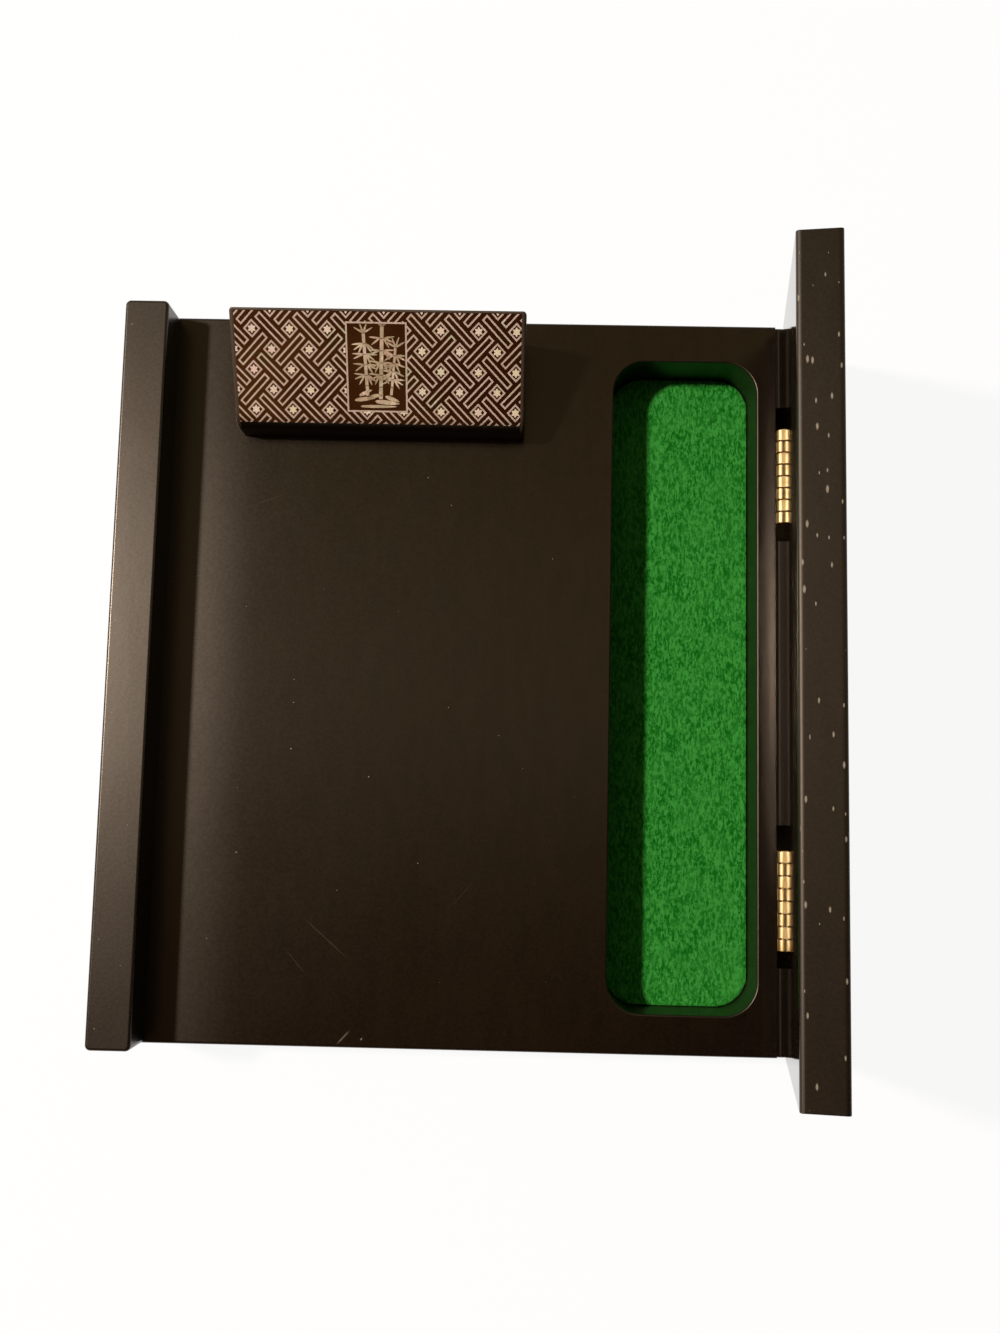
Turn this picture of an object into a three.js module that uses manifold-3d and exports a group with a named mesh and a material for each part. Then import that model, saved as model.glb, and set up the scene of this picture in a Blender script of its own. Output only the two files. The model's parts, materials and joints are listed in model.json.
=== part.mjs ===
// A low lacquered writing box for a desk. The base has a raised rail along its left side, a flat bay for
// a paper pad, a sloping head block with a shell inlay at the back, and a felt-lined pen well on the right.
// A cover on two small brass hinges folds to the left over the pen well. It is modelled standing open.
// On the hinge side the base goes on under the open cover as a shelf, a little lower than the panel.
// Lengths are millimetres. X points right, Y to the back and Z up. The origin lies on the underside, below the
// middle of the panel.

import * as THREE from 'three';
import { mergeVertices } from 'three/addons/utils/BufferGeometryUtils.js';
import Module from 'manifold-3d';

// Base, from the table up: a felt sheet, a bottom board and a thick board that the pen well is cut through
const bodyWidth = 170.6;
const bodyDepth = 190;
const baseFeltThickness = 1;
const baseFeltInset = 2.5;
const bottomBoardThickness = 7;
const topBoardThickness = 15;
const boardCornerRadius = 1.4;
const edgeRound = 0.8;

// Shelf along the hinge side, notched for the hinges
const shelfWidth = 12.5;
const shelfDrop = 1.1;
const notchSpare = 5.5;
const notchBelowLeaf = 0.6;

// Pen well
const wellWidth = 37.8;
const wellLength = 169.7;
const wellSideWall = 5.1;
const wellFrontWall = 10.1;
const wellCornerRadius = 8.5;
const wellRimRound = 0.5;
const wellFeltThickness = 1.3;
const feltClearance = 0.1;

// Rail along the left side, on two dowels
const railWidth = 11.3;
const railHeight = 11.7;
const dowelDiameter = 6;
const dowelLength = 16;
const dowelClearance = 0.2;
const dowelEndGap = 0.5;
const dowelInset = 30;

// Head block
const blockWidth = 74.6;
const blockDepth = 26.4;
const blockBackHeight = 23.1;
const blockSlopeDegrees = 27.4;
const blockFrontRadius = 5;
const blockBackRound = 0.8;
const blockEdgeRound = 0.5;
const blockToRail = 18.3;
const blockToBackEdge = 6;

// Shell inlay sheet, let into the slope and round its front edge
const inlayThickness = 0.5;
const inlaySideBorder = 1.2;
const inlayBackBorder = 0.9;
const inlayFrontDegrees = 142;
const glueGap = 0.1;

// Screws that hold the head block from below
const blockScrewDiameter = 3.5;
const blockScrewHeadDiameter = 7;
const blockScrewLength = 22;
const blockScrewInset = 16;
const blockScrewToBack = 11;

// Cover
const coverWidth = 55.8;
const coverThickness = 10.55;
const coverOpenDegrees = 80.9;
const coverToPanel = 0.4;

// Hinges
const hingeCount = 2;
const hingeLength = 25;
const hingeInset = 27.5;
const hingeShift = -1;
const hingeDrop = 0.1;
const leafWidth = 8;
const leafThickness = 0.6;
const leafSideGap = 0.1;
const barrelDiameter = 2.6;
const barrelToWood = 0.15;
const barrelToLeaf = 0.3;
const knuckleCount = 8;
const knuckleGap = 0.25;
const pinDiameter = 1;
const pinClearance = 0.15;

// Hinge screws
const screwsPerLeaf = 2;
const screwInset = 5;
const screwToLeafEdge = 2.9;
const screwDiameter = 1.6;
const screwHeadDiameter = 2.8;
const screwLength = 4.2;
const screwHoleClearance = 0.25;
const headSlotWidth = 0.4;

// Smoothness of the round shapes
const arcSteps = 6;
const roundSides = 20;
const boreSides = 14;

// Places that follow from the sizes above
const bottomBoardBase = baseFeltThickness;
const topBoardBase = bottomBoardBase + bottomBoardThickness;
const panelTop = topBoardBase + topBoardThickness;
const shelfTop = panelTop - shelfDrop;
const rightFace = bodyWidth / 2;
const baseWidth = bodyWidth + shelfWidth;
const baseCentreX = shelfWidth / 2;
const wellCentreX = rightFace - wellSideWall - wellWidth / 2;
const wellCentreY = -bodyDepth / 2 + wellFrontWall + wellLength / 2;
const railCentreX = -bodyWidth / 2 + railWidth / 2;
const blockCentreX = -bodyWidth / 2 + railWidth + blockToRail + blockWidth / 2;
const blockBackY = bodyDepth / 2 - blockToBackEdge;
const hingeAxisX = rightFace + barrelToWood + barrelDiameter / 2;
const hingeAxisZ = panelTop - hingeDrop;
const cutExtra = 1;

const lacquer = { color: 0x2a2118, roughness: 0.28, metalness: 0 };
const feltGreen = { color: 0x2f7a2a, roughness: 1, metalness: 0 };
const inlayBrown = { color: 0x4a2a18, roughness: 0.3, metalness: 0 };
const brass = { color: 0xc9a763, roughness: 0.3, metalness: 1 };
const bareWood = { color: 0xc8a878, roughness: 0.8, metalness: 0 };
const steel = { color: 0xb8b6b0, roughness: 0.35, metalness: 1 };

const wasm = await Module();
wasm.setup();

const box = new THREE.Group();
const cover = new THREE.Group();
cover.position.set(hingeAxisX, 0, hingeAxisZ);
cover.rotation.y = THREE.MathUtils.degToRad(coverOpenDegrees);
box.add(cover);

// A closed triangle mesh as a solid, and back again
function toSolid(geometry) {
  const bare = geometry.clone();
  bare.deleteAttribute('normal');
  bare.deleteAttribute('uv');
  const merged = mergeVertices(bare, 1e-4);
  return new wasm.Manifold(new wasm.Mesh({
    numProp: 3,
    vertProperties: new Float32Array(merged.attributes.position.array),
    triVerts: new Uint32Array(merged.index.array),
  }));
}

function toGeometry(solid) {
  const mesh = solid.getMesh();
  const geometry = new THREE.BufferGeometry();
  geometry.setAttribute('position', new THREE.BufferAttribute(mesh.vertProperties, 3));
  geometry.setIndex(new THREE.BufferAttribute(mesh.triVerts, 1));
  geometry.computeVertexNormals();
  return geometry;
}

function addPart(parent, name, shape, finish) {
  const geometry = shape.isBufferGeometry ? shape : toGeometry(shape);
  const mesh = new THREE.Mesh(geometry, new THREE.MeshStandardMaterial(finish));
  mesh.name = name;
  parent.add(mesh);
}

function cutAll(solid, cutters) {
  return cutters.reduce((left, cutter) => left.subtract(cutter), solid);
}

function roundedRectangle(width, length, radius) {
  const x = width / 2;
  const y = length / 2;
  const shape = new THREE.Shape();
  shape.moveTo(x, -y + radius);
  shape.absarc(x - radius, y - radius, radius, 0, Math.PI / 2);
  shape.absarc(-x + radius, y - radius, radius, Math.PI / 2, Math.PI);
  shape.absarc(-x + radius, -y + radius, radius, Math.PI, Math.PI * 1.5);
  shape.absarc(x - radius, -y + radius, radius, Math.PI * 1.5, Math.PI * 2);
  return shape;
}

// A plate that stands on Z = 0, with its edges rounded above and below
function plate(shape, thickness, round) {
  const geometry = new THREE.ExtrudeGeometry(shape, {
    depth: thickness - 2 * round,
    bevelEnabled: round > 0,
    bevelThickness: round,
    bevelSize: round,
    bevelOffset: -round,
    bevelSegments: 2,
    curveSegments: arcSteps,
  });
  return geometry.translate(0, 0, round);
}

function block(sizeX, sizeY, sizeZ, x, y, z) {
  return toSolid(new THREE.BoxGeometry(sizeX, sizeY, sizeZ).translate(x, y, z));
}

// A round bar along Z, centred on the place given
function bar(radius, length, sides, x, y, z) {
  return new THREE.CylinderGeometry(radius, radius, length, sides).rotateX(Math.PI / 2).translate(x, y, z);
}

// A countersunk screw along Z with the flat of its head at Z = 0. The spare widens it into the hole it needs
// and carries the hole on past the head.
function screwProfile(diameter, headDiameter, length, spare) {
  const shank = diameter / 2 + spare;
  const head = headDiameter / 2 + spare;
  const headHeight = (headDiameter - diameter) / 2;
  const tip = -length - spare;
  const points = [
    new THREE.Vector2(0, tip),
    new THREE.Vector2(shank, tip + shank),
    new THREE.Vector2(shank, -headHeight),
    new THREE.Vector2(head, 0),
  ];
  if (spare > 0) points.push(new THREE.Vector2(head, cutExtra));
  points.push(new THREE.Vector2(0, spare > 0 ? cutExtra : 0));
  return new THREE.LatheGeometry(points, boreSides).rotateX(Math.PI / 2);
}

function slottedScrew(diameter, headDiameter, length) {
  const headHeight = (headDiameter - diameter) / 2;
  const slot = block(headDiameter + cutExtra, headSlotWidth, headHeight, 0, 0, 0);
  return toSolid(screwProfile(diameter, headDiameter, length, 0)).subtract(slot);
}

// The middles of the notches along the hinge side
function notchCentres() {
  const firstCentre = -bodyDepth / 2 + hingeInset + hingeLength / 2;
  const step = (bodyDepth - 2 * hingeInset - hingeLength) / (hingeCount - 1);
  return Array.from({ length: hingeCount }, (_, i) => firstCentre + i * step);
}

// The hinges sit a little nearer to the front than the notches
function hingeCentres() {
  return notchCentres().map((y) => y + hingeShift);
}

function screwPlaces(centreY) {
  const step = (hingeLength - 2 * screwInset) / (screwsPerLeaf - 1);
  return Array.from({ length: screwsPerLeaf }, (_, i) => centreY - hingeLength / 2 + screwInset + i * step);
}

// Hinge pieces are drawn about the axis, with the wood on the left and the cover's half above.
// side is 1 for the half on the cover and -1 for the half on the base.
const woodX = -(barrelToWood + barrelDiameter / 2);
const leafBackX = woodX + leafSideGap;
const leafFaceX = leafBackX + leafThickness;
const screwHeight = leafWidth - screwToLeafEdge;

function turnToSide(geometry, y, side) {
  return geometry.rotateY(Math.PI / 2).translate(leafFaceX, y, side * screwHeight);
}

function hingeScrewHoles(centreY, side) {
  return screwPlaces(centreY).map((y) => toSolid(turnToSide(
    screwProfile(screwDiameter, screwHeadDiameter, screwLength, screwHoleClearance), y, side)));
}

function knucklePlaces(centreY, side) {
  const length = (hingeLength - (knuckleCount - 1) * knuckleGap) / knuckleCount;
  const first = centreY - hingeLength / 2 + length / 2;
  const own = side > 0 ? 1 : 0;
  const places = [];
  for (let i = own; i < knuckleCount; i += 2) places.push(first + i * (length + knuckleGap));
  return { length, places };
}

function hingeLeaf(centreY, side) {
  const barrelRadius = barrelDiameter / 2;
  const boreRadius = pinDiameter / 2 + pinClearance;
  const plateStart = barrelRadius + barrelToLeaf;
  const leafMiddleX = (leafBackX + leafFaceX) / 2;
  const plateMiddle = side * (plateStart + leafWidth) / 2;
  let leaf = block(leafThickness, hingeLength, leafWidth - plateStart, leafMiddleX, centreY, plateMiddle);
  const { length, places } = knucklePlaces(centreY, side);
  for (const y of places) {
    const ring = new THREE.LatheGeometry([
      new THREE.Vector2(boreRadius, -length / 2),
      new THREE.Vector2(barrelRadius, -length / 2),
      new THREE.Vector2(barrelRadius, length / 2),
      new THREE.Vector2(boreRadius, length / 2),
      new THREE.Vector2(boreRadius, -length / 2),
    ], roundSides).translate(0, y, 0);
    const tongueReach = plateStart + leafThickness;
    const tongue = block(leafThickness, length, tongueReach, leafMiddleX, y, side * tongueReach / 2);
    leaf = leaf.add(toSolid(ring)).add(tongue);
  }
  return cutAll(leaf, hingeScrewHoles(centreY, side));
}

function addHinge(name, centreY) {
  addPart(box, `${name}_base_leaf`, hingeLeaf(centreY, -1).translate(hingeAxisX, 0, hingeAxisZ), brass);
  addPart(cover, `${name}_cover_leaf`, hingeLeaf(centreY, 1), brass);
  const pin = new THREE.CylinderGeometry(pinDiameter / 2, pinDiameter / 2, hingeLength, boreSides);
  addPart(box, `${name}_pin`, pin.translate(hingeAxisX, centreY, hingeAxisZ), brass);
  screwPlaces(centreY).forEach((y, i) => {
    const screw = toGeometry(slottedScrew(screwDiameter, screwHeadDiameter, screwLength));
    const baseScrew = turnToSide(screw.clone(), y, -1).translate(hingeAxisX, 0, hingeAxisZ);
    addPart(box, `${name}_base_screw_${i + 1}`, baseScrew, brass);
    addPart(cover, `${name}_cover_screw_${i + 1}`, turnToSide(screw, y, 1), brass);
  });
}

// Head block: its side view is drawn with the back face at 0 and the front at -blockDepth
const slope = THREE.MathUtils.degToRad(blockSlopeDegrees);
const frontArcY = -blockDepth + blockFrontRadius;
const frontArcZ = (blockBackHeight * Math.cos(slope) - blockFrontRadius + frontArcY * Math.sin(slope))
  / Math.cos(slope);
const backArcZ = (blockBackHeight * Math.cos(slope) - blockBackRound - blockBackRound * Math.sin(slope))
  / Math.cos(slope);

// The line down the slope and round the front edge, at a depth below the surface
function slopeLine(shape, depth, backBorder, frontAngle, forwards) {
  const radius = blockFrontRadius - depth;
  const startY = -backBorder * Math.cos(slope) + depth * Math.sin(slope);
  const startZ = blockBackHeight - backBorder * Math.sin(slope) - depth * Math.cos(slope);
  const slopeAngle = Math.PI / 2 + slope;
  if (forwards) {
    shape.lineTo(startY, startZ);
    shape.absarc(frontArcY, frontArcZ, radius, slopeAngle, frontAngle, false);
  } else {
    shape.absarc(frontArcY, frontArcZ, radius, frontAngle, slopeAngle, true);
    shape.lineTo(startY, startZ);
  }
}

function alongX(shape, width, round) {
  const toX = new THREE.Matrix4().makeBasis(
    new THREE.Vector3(0, 1, 0), new THREE.Vector3(0, 0, 1), new THREE.Vector3(1, 0, 0));
  return plate(shape, width, round).translate(0, 0, -width / 2).applyMatrix4(toX)
    .translate(blockCentreX, blockBackY, panelTop);
}

function inlayStrip(topDepth, bottomDepth, spare) {
  const shape = new THREE.Shape();
  const frontAngle = THREE.MathUtils.degToRad(inlayFrontDegrees) + spare / blockFrontRadius;
  const backBorder = inlayBackBorder - spare;
  const startY = -backBorder * Math.cos(slope) + bottomDepth * Math.sin(slope);
  const startZ = blockBackHeight - backBorder * Math.sin(slope) - bottomDepth * Math.cos(slope);
  shape.moveTo(startY, startZ);
  slopeLine(shape, topDepth, backBorder, frontAngle, true);
  slopeLine(shape, bottomDepth, backBorder, frontAngle, false);
  return alongX(shape, blockWidth - 2 * inlaySideBorder + 2 * spare, 0);
}

function headBlock() {
  const shape = new THREE.Shape();
  shape.moveTo(-blockDepth, 0);
  shape.lineTo(0, 0);
  shape.absarc(-blockBackRound, backArcZ, blockBackRound, 0, Math.PI / 2 + slope, false);
  shape.absarc(frontArcY, frontArcZ, blockFrontRadius, Math.PI / 2 + slope, Math.PI, false);
  return toSolid(alongX(shape, blockWidth, blockEdgeRound));
}

function blockScrewPlaces() {
  const y = blockBackY - blockScrewToBack;
  const reach = blockWidth / 2 - blockScrewInset;
  return [[blockCentreX - reach, y], [blockCentreX + reach, y]];
}

function blockScrewHole(x, y) {
  const hole = screwProfile(blockScrewDiameter, blockScrewHeadDiameter, blockScrewLength, screwHoleClearance);
  return toSolid(hole.rotateX(Math.PI).translate(x, y, topBoardBase));
}

function dowelPlaces() {
  const reach = bodyDepth / 2 - dowelInset;
  return [-reach, reach];
}

function dowelHole(y) {
  const radius = dowelDiameter / 2 + dowelClearance;
  return toSolid(bar(radius, dowelLength + 2 * dowelEndGap, roundSides, railCentreX, y, panelTop));
}

function toHingeAxis(solid) {
  return solid.translate(hingeAxisX, 0, hingeAxisZ);
}

// The base's outline, from below the top board's foot up to the height given
function boardUpTo(top) {
  const shape = roundedRectangle(baseWidth, bodyDepth, boardCornerRadius);
  return toSolid(plate(shape, top - topBoardBase + cutExtra, edgeRound)
    .translate(baseCentreX, 0, topBoardBase - cutExtra));
}

// A notch in the shelf, open above and on the right, so that the hinge can be screwed to the panel's side
function hingeNotch(centreY) {
  const bottom = hingeAxisZ - leafWidth - notchBelowLeaf;
  const width = shelfWidth + cutExtra;
  const height = panelTop + cutExtra - bottom;
  return block(width, hingeLength + 2 * notchSpare, height,
    rightFace + width / 2, centreY, bottom + height / 2);
}

function topBoard() {
  const overShelf = block(shelfWidth + cutExtra, bodyDepth + cutExtra, 2 * topBoardThickness,
    rightFace + (shelfWidth + cutExtra) / 2, 0, panelTop);
  const blank = boardUpTo(panelTop).subtract(overShelf).add(boardUpTo(shelfTop));
  const squareFoot = block(baseWidth + cutExtra, bodyDepth + cutExtra, 2 * cutExtra,
    baseCentreX, 0, topBoardBase - cutExtra);
  const cutters = [squareFoot, wellCut(), ...notchCentres().map(hingeNotch)];
  for (const y of dowelPlaces()) cutters.push(dowelHole(y));
  for (const [x, y] of blockScrewPlaces()) cutters.push(blockScrewHole(x, y));
  for (const y of hingeCentres()) cutters.push(...hingeScrewHoles(y, -1).map(toHingeAxis));
  return cutAll(blank, cutters);
}

// The well is cut right through, and its rim is rounded over at the top
function wellCut() {
  const shape = roundedRectangle(wellWidth, wellLength, wellCornerRadius);
  const rim = roundedRectangle(wellWidth + 2 * wellRimRound, wellLength + 2 * wellRimRound,
    wellCornerRadius + wellRimRound);
  const through = plate(shape, topBoardThickness + 2 * cutExtra, 0)
    .translate(wellCentreX, wellCentreY, topBoardBase - cutExtra);
  const funnel = plate(rim, 2 * wellRimRound, wellRimRound)
    .translate(wellCentreX, wellCentreY, panelTop - wellRimRound);
  return toSolid(through).add(toSolid(funnel));
}

function bottomBoard() {
  const shape = roundedRectangle(baseWidth, bodyDepth, boardCornerRadius);
  const blank = toSolid(plate(shape, bottomBoardThickness + cutExtra, edgeRound)
    .translate(baseCentreX, 0, bottomBoardBase));
  const squareTop = block(baseWidth + cutExtra, bodyDepth + cutExtra, 2 * cutExtra,
    baseCentreX, 0, topBoardBase + cutExtra);
  return blank.subtract(squareTop);
}

function baseFelt() {
  const shape = roundedRectangle(baseWidth - 2 * baseFeltInset, bodyDepth - 2 * baseFeltInset,
    boardCornerRadius);
  return plate(shape, baseFeltThickness, 0).translate(baseCentreX, 0, 0);
}

function wellFelt() {
  const shape = roundedRectangle(wellWidth - 2 * feltClearance, wellLength - 2 * feltClearance,
    wellCornerRadius - feltClearance);
  return plate(shape, wellFeltThickness, 0).translate(wellCentreX, wellCentreY, topBoardBase);
}

function leftRail() {
  const shape = roundedRectangle(railWidth, bodyDepth, boardCornerRadius);
  const blank = toSolid(plate(shape, railHeight + cutExtra, edgeRound)
    .translate(railCentreX, 0, panelTop - cutExtra));
  const squareFoot = block(railWidth + cutExtra, bodyDepth + cutExtra, 2 * cutExtra,
    railCentreX, 0, panelTop - cutExtra);
  return cutAll(blank, [squareFoot, ...dowelPlaces().map(dowelHole)]);
}

// The cover is drawn closed about the hinge's axis, and its group opens it
function coverBoard() {
  const shape = roundedRectangle(coverWidth, bodyDepth, boardCornerRadius);
  const blank = toSolid(plate(shape, coverThickness, edgeRound)
    .translate(woodX - coverWidth / 2, 0, hingeDrop + coverToPanel));
  const holes = hingeCentres().flatMap((y) => hingeScrewHoles(y, 1));
  return cutAll(blank, holes);
}

addPart(box, 'base_felt', baseFelt(), feltGreen);
addPart(box, 'bottom_board', bottomBoard(), lacquer);
addPart(box, 'top_board', topBoard(), lacquer);
addPart(box, 'well_felt', wellFelt(), feltGreen);
addPart(box, 'left_rail', leftRail(), lacquer);
dowelPlaces().forEach((y, i) => {
  const dowel = bar(dowelDiameter / 2, dowelLength, roundSides, railCentreX, y, panelTop);
  addPart(box, `rail_dowel_${i + 1}`, dowel, bareWood);
});

const pocket = toSolid(inlayStrip(-cutExtra, inlayThickness + glueGap, glueGap));
const blockHoles = blockScrewPlaces().map(([x, y]) => blockScrewHole(x, y));
addPart(box, 'head_block', cutAll(headBlock(), [pocket, ...blockHoles]), lacquer);
addPart(box, 'shell_inlay', inlayStrip(0, inlayThickness, 0), inlayBrown);
blockScrewPlaces().forEach(([x, y], i) => {
  const screw = toGeometry(slottedScrew(blockScrewDiameter, blockScrewHeadDiameter, blockScrewLength));
  const upright = screw.rotateX(Math.PI).translate(x, y, topBoardBase);
  addPart(box, `head_block_screw_${i + 1}`, upright, steel);
});

addPart(cover, 'pen_well_cover', coverBoard(), lacquer);
hingeCentres().forEach((y, i) => addHinge(`hinge_${i + 1}`, y));

export default box;
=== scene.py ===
import json
import math
import random

import bmesh
import bpy
from mathutils import Matrix, Vector


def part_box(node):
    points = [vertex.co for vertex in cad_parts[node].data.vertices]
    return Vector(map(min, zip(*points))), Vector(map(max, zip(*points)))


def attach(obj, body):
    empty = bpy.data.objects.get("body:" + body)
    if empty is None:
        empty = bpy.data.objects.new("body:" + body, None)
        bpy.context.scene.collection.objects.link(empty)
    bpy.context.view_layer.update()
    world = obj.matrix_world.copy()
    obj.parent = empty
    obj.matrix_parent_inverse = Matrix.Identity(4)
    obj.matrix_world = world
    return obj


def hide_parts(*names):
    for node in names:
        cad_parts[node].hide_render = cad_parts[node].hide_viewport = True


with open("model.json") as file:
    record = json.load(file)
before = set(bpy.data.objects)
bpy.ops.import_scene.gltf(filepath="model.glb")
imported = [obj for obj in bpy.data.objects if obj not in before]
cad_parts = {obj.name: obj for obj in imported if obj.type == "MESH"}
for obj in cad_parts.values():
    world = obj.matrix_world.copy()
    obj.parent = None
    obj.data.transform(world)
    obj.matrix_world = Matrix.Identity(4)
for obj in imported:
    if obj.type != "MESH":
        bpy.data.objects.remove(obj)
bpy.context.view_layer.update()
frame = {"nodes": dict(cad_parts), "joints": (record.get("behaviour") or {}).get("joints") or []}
mm = 0.001

# the cover is stored open, so its pieces are modelled closed and then turned by this
coverHinge = frame["joints"][0]
hingeAxis = Vector(coverHinge["pos_m"])
openAngle = -math.radians(coverHinge["range_deg"][0])
toHinge = Matrix.Translation(hingeAxis)
openCover = toHinge @ Matrix.Rotation(openAngle, 4, "Y") @ toHinge.inverted()


# modelling helpers
def startClean():
    if bpy.context.object and bpy.context.object.mode != "OBJECT":
        bpy.ops.object.mode_set(mode="OBJECT")
    bpy.ops.object.select_all(action="DESELECT")


def makeActive(piece):
    startClean()
    piece.select_set(True)
    bpy.context.view_layer.objects.active = piece


def applyPlace(piece):
    makeActive(piece)
    bpy.ops.object.transform_apply(location=True, rotation=True, scale=True)
    return piece


def nameIt(name):
    piece = bpy.context.object
    piece.name = name
    piece.data.name = name
    return piece


def addSlab(name, low, high):
    startClean()
    bpy.ops.mesh.primitive_cube_add(size=1, location=(low + high) / 2)
    piece = nameIt(name)
    piece.scale = high - low
    return applyPlace(piece)


def addRod(name, radius, length, centre, sides):
    # a round bar along Y
    startClean()
    bpy.ops.mesh.primitive_cylinder_add(vertices=sides, radius=radius, depth=length,
                                        location=centre, rotation=(math.pi / 2, 0, 0))
    return applyPlace(nameIt(name))


def addPlane(name, width, length, centre=(0, 0, 0)):
    startClean()
    bpy.ops.mesh.primitive_plane_add(size=1, location=centre)
    piece = nameIt(name)
    piece.scale = (width, length, 1)
    return applyPlace(piece)


def addDisc(name, sides, radius):
    startClean()
    bpy.ops.mesh.primitive_circle_add(vertices=sides, radius=radius, fill_type="NGON")
    return nameIt(name)


def editAll(piece):
    makeActive(piece)
    bpy.ops.object.mode_set(mode="EDIT")
    bpy.ops.mesh.select_all(action="SELECT")


def roundEdges(piece, wanted, radius, steps):
    makeActive(piece)
    bpy.ops.object.mode_set(mode="EDIT")
    bpy.ops.mesh.select_mode(type="EDGE")
    bpy.ops.mesh.select_all(action="DESELECT")
    mesh = bmesh.from_edit_mesh(piece.data)
    for edge in mesh.edges:
        edge.select_set(wanted(edge.verts[0].co, edge.verts[1].co))
    bmesh.update_edit_mesh(piece.data)
    bpy.ops.mesh.bevel(offset=radius, segments=steps, profile=0.5, affect="EDGES", clamp_overlap=True)
    bpy.ops.object.mode_set(mode="OBJECT")


def applyModifier(piece, kind, **settings):
    makeActive(piece)
    modifier = piece.modifiers.new(kind.title(), kind)
    for key, value in settings.items():
        setattr(modifier, key, value)
    bpy.ops.object.modifier_apply(modifier=modifier.name)


def discard(piece):
    bpy.data.objects.remove(piece)


def combine(piece, other, operation):
    applyModifier(piece, "BOOLEAN", object=other, operation=operation, solver="EXACT")
    discard(other)


def joinAll(pieces, name):
    startClean()
    for piece in pieces:
        piece.select_set(True)
    bpy.context.view_layer.objects.active = pieces[0]
    if len(pieces) > 1:
        bpy.ops.object.join()
    return applyPlace(nameIt(name))


def copyTo(piece, place, turn=0.0):
    twin = piece.copy()
    twin.data = piece.data.copy()
    twin.location = place
    twin.rotation_euler = (0, 0, turn)
    bpy.context.collection.objects.link(twin)
    return twin


def smooth(piece, degrees=35):
    makeActive(piece)
    bpy.ops.object.shade_smooth_by_angle(angle=math.radians(degrees))
    applyModifier(piece, "WEIGHTED_NORMAL", keep_sharp=True)


def dress(piece, material, body, slotName, *nodes):
    piece.data.materials.clear()
    piece.data.materials.append(material)
    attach(piece, body)
    if nodes:
        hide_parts(*nodes)


def near(a, b, reach=1e-5):
    return abs(a - b) < reach


def upright(a, b):
    return near(a.x, b.x) and near(a.y, b.y)


def atHeight(a, b, height):
    return near(a.z, height) and near(b.z, height)


def bothAt(axis, value):
    return lambda a, b: near(a[axis], value) and near(b[axis], value)


def closedBox(node):
    # a cover piece's lowest and highest corners with the cover shut
    shut = openCover.inverted()
    points = [shut @ v.co for v in frame["nodes"][node].data.vertices]
    low = Vector([min(p[i] for p in points) for i in range(3)])
    high = Vector([max(p[i] for p in points) for i in range(3)])
    return low, high


def turnOpen(piece):
    piece.matrix_world = openCover
    applyPlace(piece)


# shader helpers: sums of sockets are written as plain expressions
class Wire:
    def __init__(self, nodes, socket):
        self.nodes = nodes
        self.socket = socket

    def maths(self, operation, *others):
        inputs = dict(enumerate((self, *others)))
        return self.nodes.node("ShaderNodeMath", {"operation": operation}, inputs)

    def __add__(self, other):
        return self.maths("ADD", other)

    __radd__ = __add__

    def __sub__(self, other):
        return self.maths("SUBTRACT", other)

    def __mul__(self, other):
        return self.maths("MULTIPLY", other)

    def __gt__(self, other):
        return self.maths("GREATER_THAN", other)

    def __lt__(self, other):
        return self.maths("LESS_THAN", other)

    def __abs__(self):
        return self.maths("ABSOLUTE")


class Nodes:
    def __init__(self, tree):
        self.tree = tree

    def feed(self, socket, value):
        if isinstance(value, Wire):
            self.tree.links.new(value.socket, socket)
        else:
            # colours are written without their alpha
            socket.default_value = (*value, 1) if socket.type == "RGBA" else value

    def node(self, kind, settings=None, inputs=None, output=0):
        made = self.tree.nodes.new(kind)
        for key, value in (settings or {}).items():
            setattr(made, key, value)
        for key, value in (inputs or {}).items():
            self.feed(made.inputs[key], value)
        return Wire(self, made.outputs[output])

    def place(self):
        return self.node("ShaderNodeTexCoord", output=3)

    def facing(self, axis):
        normal = self.node("ShaderNodeTexCoord", output=1)
        return self.node("ShaderNodeSeparateXYZ", None, {0: normal}, axis)

    def along(self, axis):
        return self.node("ShaderNodeSeparateXYZ", None, {0: self.place()}, axis)

    def noise(self, scale, detail=3, stretch=(1, 1, 1), turn=(0, 0, 0), warp=0.0):
        where = self.node("ShaderNodeMapping", None, {0: self.place(), 2: turn, 3: stretch})
        return self.node("ShaderNodeTexNoise", None,
                         {"Vector": where, "Scale": scale, "Detail": detail, "Distortion": warp})

    def ramp(self, value, stops):
        made = self.node("ShaderNodeValToRGB", None, {0: value})
        elements = made.socket.node.color_ramp.elements
        while len(elements) < len(stops):
            elements.new(0.5)
        for element, (position, color) in zip(elements, stops):
            element.position = position
            element.color = (*color, 1)
        return made

    def curve(self, value, low, high, outLow=0.0, outHigh=1.0):
        return self.node("ShaderNodeMapRange", {"interpolation_type": "SMOOTHSTEP"},
                         {0: value, 1: low, 2: high, 3: outLow, 4: outHigh})

    def mix(self, factor, first, second):
        return self.node("ShaderNodeMix", {"data_type": "RGBA"}, {0: factor, 6: first, 7: second}, 2)

    def bump(self, height, distance):
        return self.node("ShaderNodeBump", None, {"Height": height, "Distance": distance})


class Finish(Nodes):
    def __init__(self, name):
        self.material = bpy.data.materials.new(name)
        self.material.use_nodes = True
        super().__init__(self.material.node_tree)
        self.shader = self.tree.nodes["Principled BSDF"]

    def finish(self, **sockets):
        for name, value in sockets.items():
            self.feed(self.shader.inputs[name.replace("_", " ")], value)
        return self.material


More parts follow.
